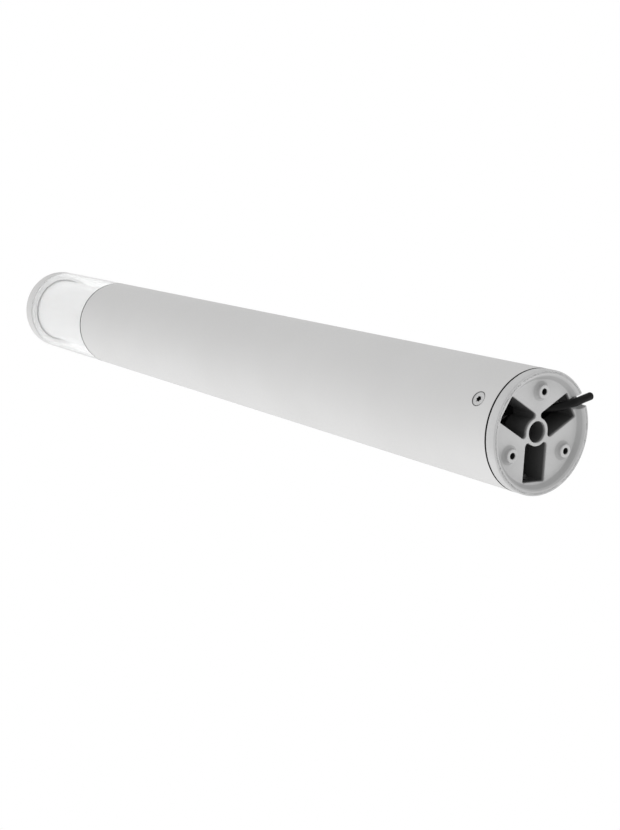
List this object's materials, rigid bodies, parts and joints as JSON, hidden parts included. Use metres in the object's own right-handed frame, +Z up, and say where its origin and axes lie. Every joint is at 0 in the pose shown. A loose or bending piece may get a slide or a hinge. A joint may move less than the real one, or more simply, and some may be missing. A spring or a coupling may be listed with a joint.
{
  "type": "bollard light",
  "caption": "Round silver garden bollard light: hollow post on a flush cast base with cable windows, clear outer tube round an opal tube, flat cap and a short supply cable.",
  "frame": {"origin": "centre of the base's rim, on the ground that the post stands on", "axes": "+Z up along the post's axis from the base to the cap; +Y towards the notch in the rim where the supply cable leaves; +X to the right of it seen from above"},
  "size_m": [0.108, 0.1203, 1],
  "materials": {
    "silver_paint": "satin",
    "cast_aluminium": "matte",
    "bare_aluminium": "satin",
    "sheet_steel": "satin",
    "stainless_steel": "polished",
    "zinc_steel": "satin",
    "black_rubber": "matte",
    "grey_silicone": "matte",
    "cable_rubber": "satin",
    "black_plastic": "satin",
    "white_plastic": "satin",
    "clear_plastic": "gloss",
    "opal_plastic": "satin",
    "white_board": "satin",
    "phosphor_lens": "gloss",
    "brown_insulation": "satin",
    "blue_insulation": "satin",
    "green_yellow_insulation": "satin"
  },
  "bodies": {
    "base": {"base_casting": "cast_aluminium", "base_gasket": "black_rubber", "gear_tray": "sheet_steel", "tray_screw_1": "zinc_steel", "tray_screw_2": "zinc_steel", "cable_gland": "black_plastic", "gland_locknut": "black_plastic", "supply_cable": "cable_rubber", "cable_sheath_end": "cable_rubber", "core_live": "brown_insulation", "core_neutral": "blue_insulation", "core_earth": "green_yellow_insulation", "earth_screw": "zinc_steel", "terminal_block": "white_plastic", "driver_wire_neutral": "blue_insulation", "driver_wire_live": "brown_insulation", "led_driver": "white_plastic", "driver_screw_1": "zinc_steel", "driver_screw_2": "zinc_steel", "output_lead": "cable_rubber", "lead_socket": "black_plastic"},
    "post": {"post_tube": "silver_paint", "nut_plate_1": "zinc_steel", "nut_plate_2": "zinc_steel", "nut_plate_3": "zinc_steel", "lead_plug": "black_plastic", "head_lead": "cable_rubber", "head_collar": "cast_aluminium", "heat_sink": "bare_aluminium", "led_board": "white_board", "led_lens": "phosphor_lens", "tie_rod_1": "zinc_steel", "tie_rod_2": "zinc_steel", "tie_rod_3": "zinc_steel", "rod_nut_1": "zinc_steel", "rod_nut_2": "zinc_steel", "rod_nut_3": "zinc_steel", "lower_seal": "grey_silicone", "clear_tube": "clear_plastic", "opal_tube": "opal_plastic", "upper_seal": "grey_silicone", "top_cap": "silver_paint"},
    "locking_screw_1": {"locking_screw_1": "stainless_steel"},
    "locking_screw_2": {"locking_screw_2": "stainless_steel"},
    "locking_screw_3": {"locking_screw_3": "stainless_steel"}
  },
  "joints": [
    {"name": "post_lift", "type": "slide", "parent": "base", "child": "post", "axis": [0, 0, 1], "range_m": [0, 0.04]},
    {"name": "locking_screw_1_out", "type": "slide", "parent": "post", "child": "locking_screw_1", "axis": [0, 1, 0], "range_m": [0, 0.016]},
    {"name": "locking_screw_2_out", "type": "slide", "parent": "post", "child": "locking_screw_2", "axis": [-0.866, -0.5, 0], "range_m": [0, 0.016]},
    {"name": "locking_screw_3_out", "type": "slide", "parent": "post", "child": "locking_screw_3", "axis": [0.866, -0.5, 0], "range_m": [0, 0.016]}
  ]
}
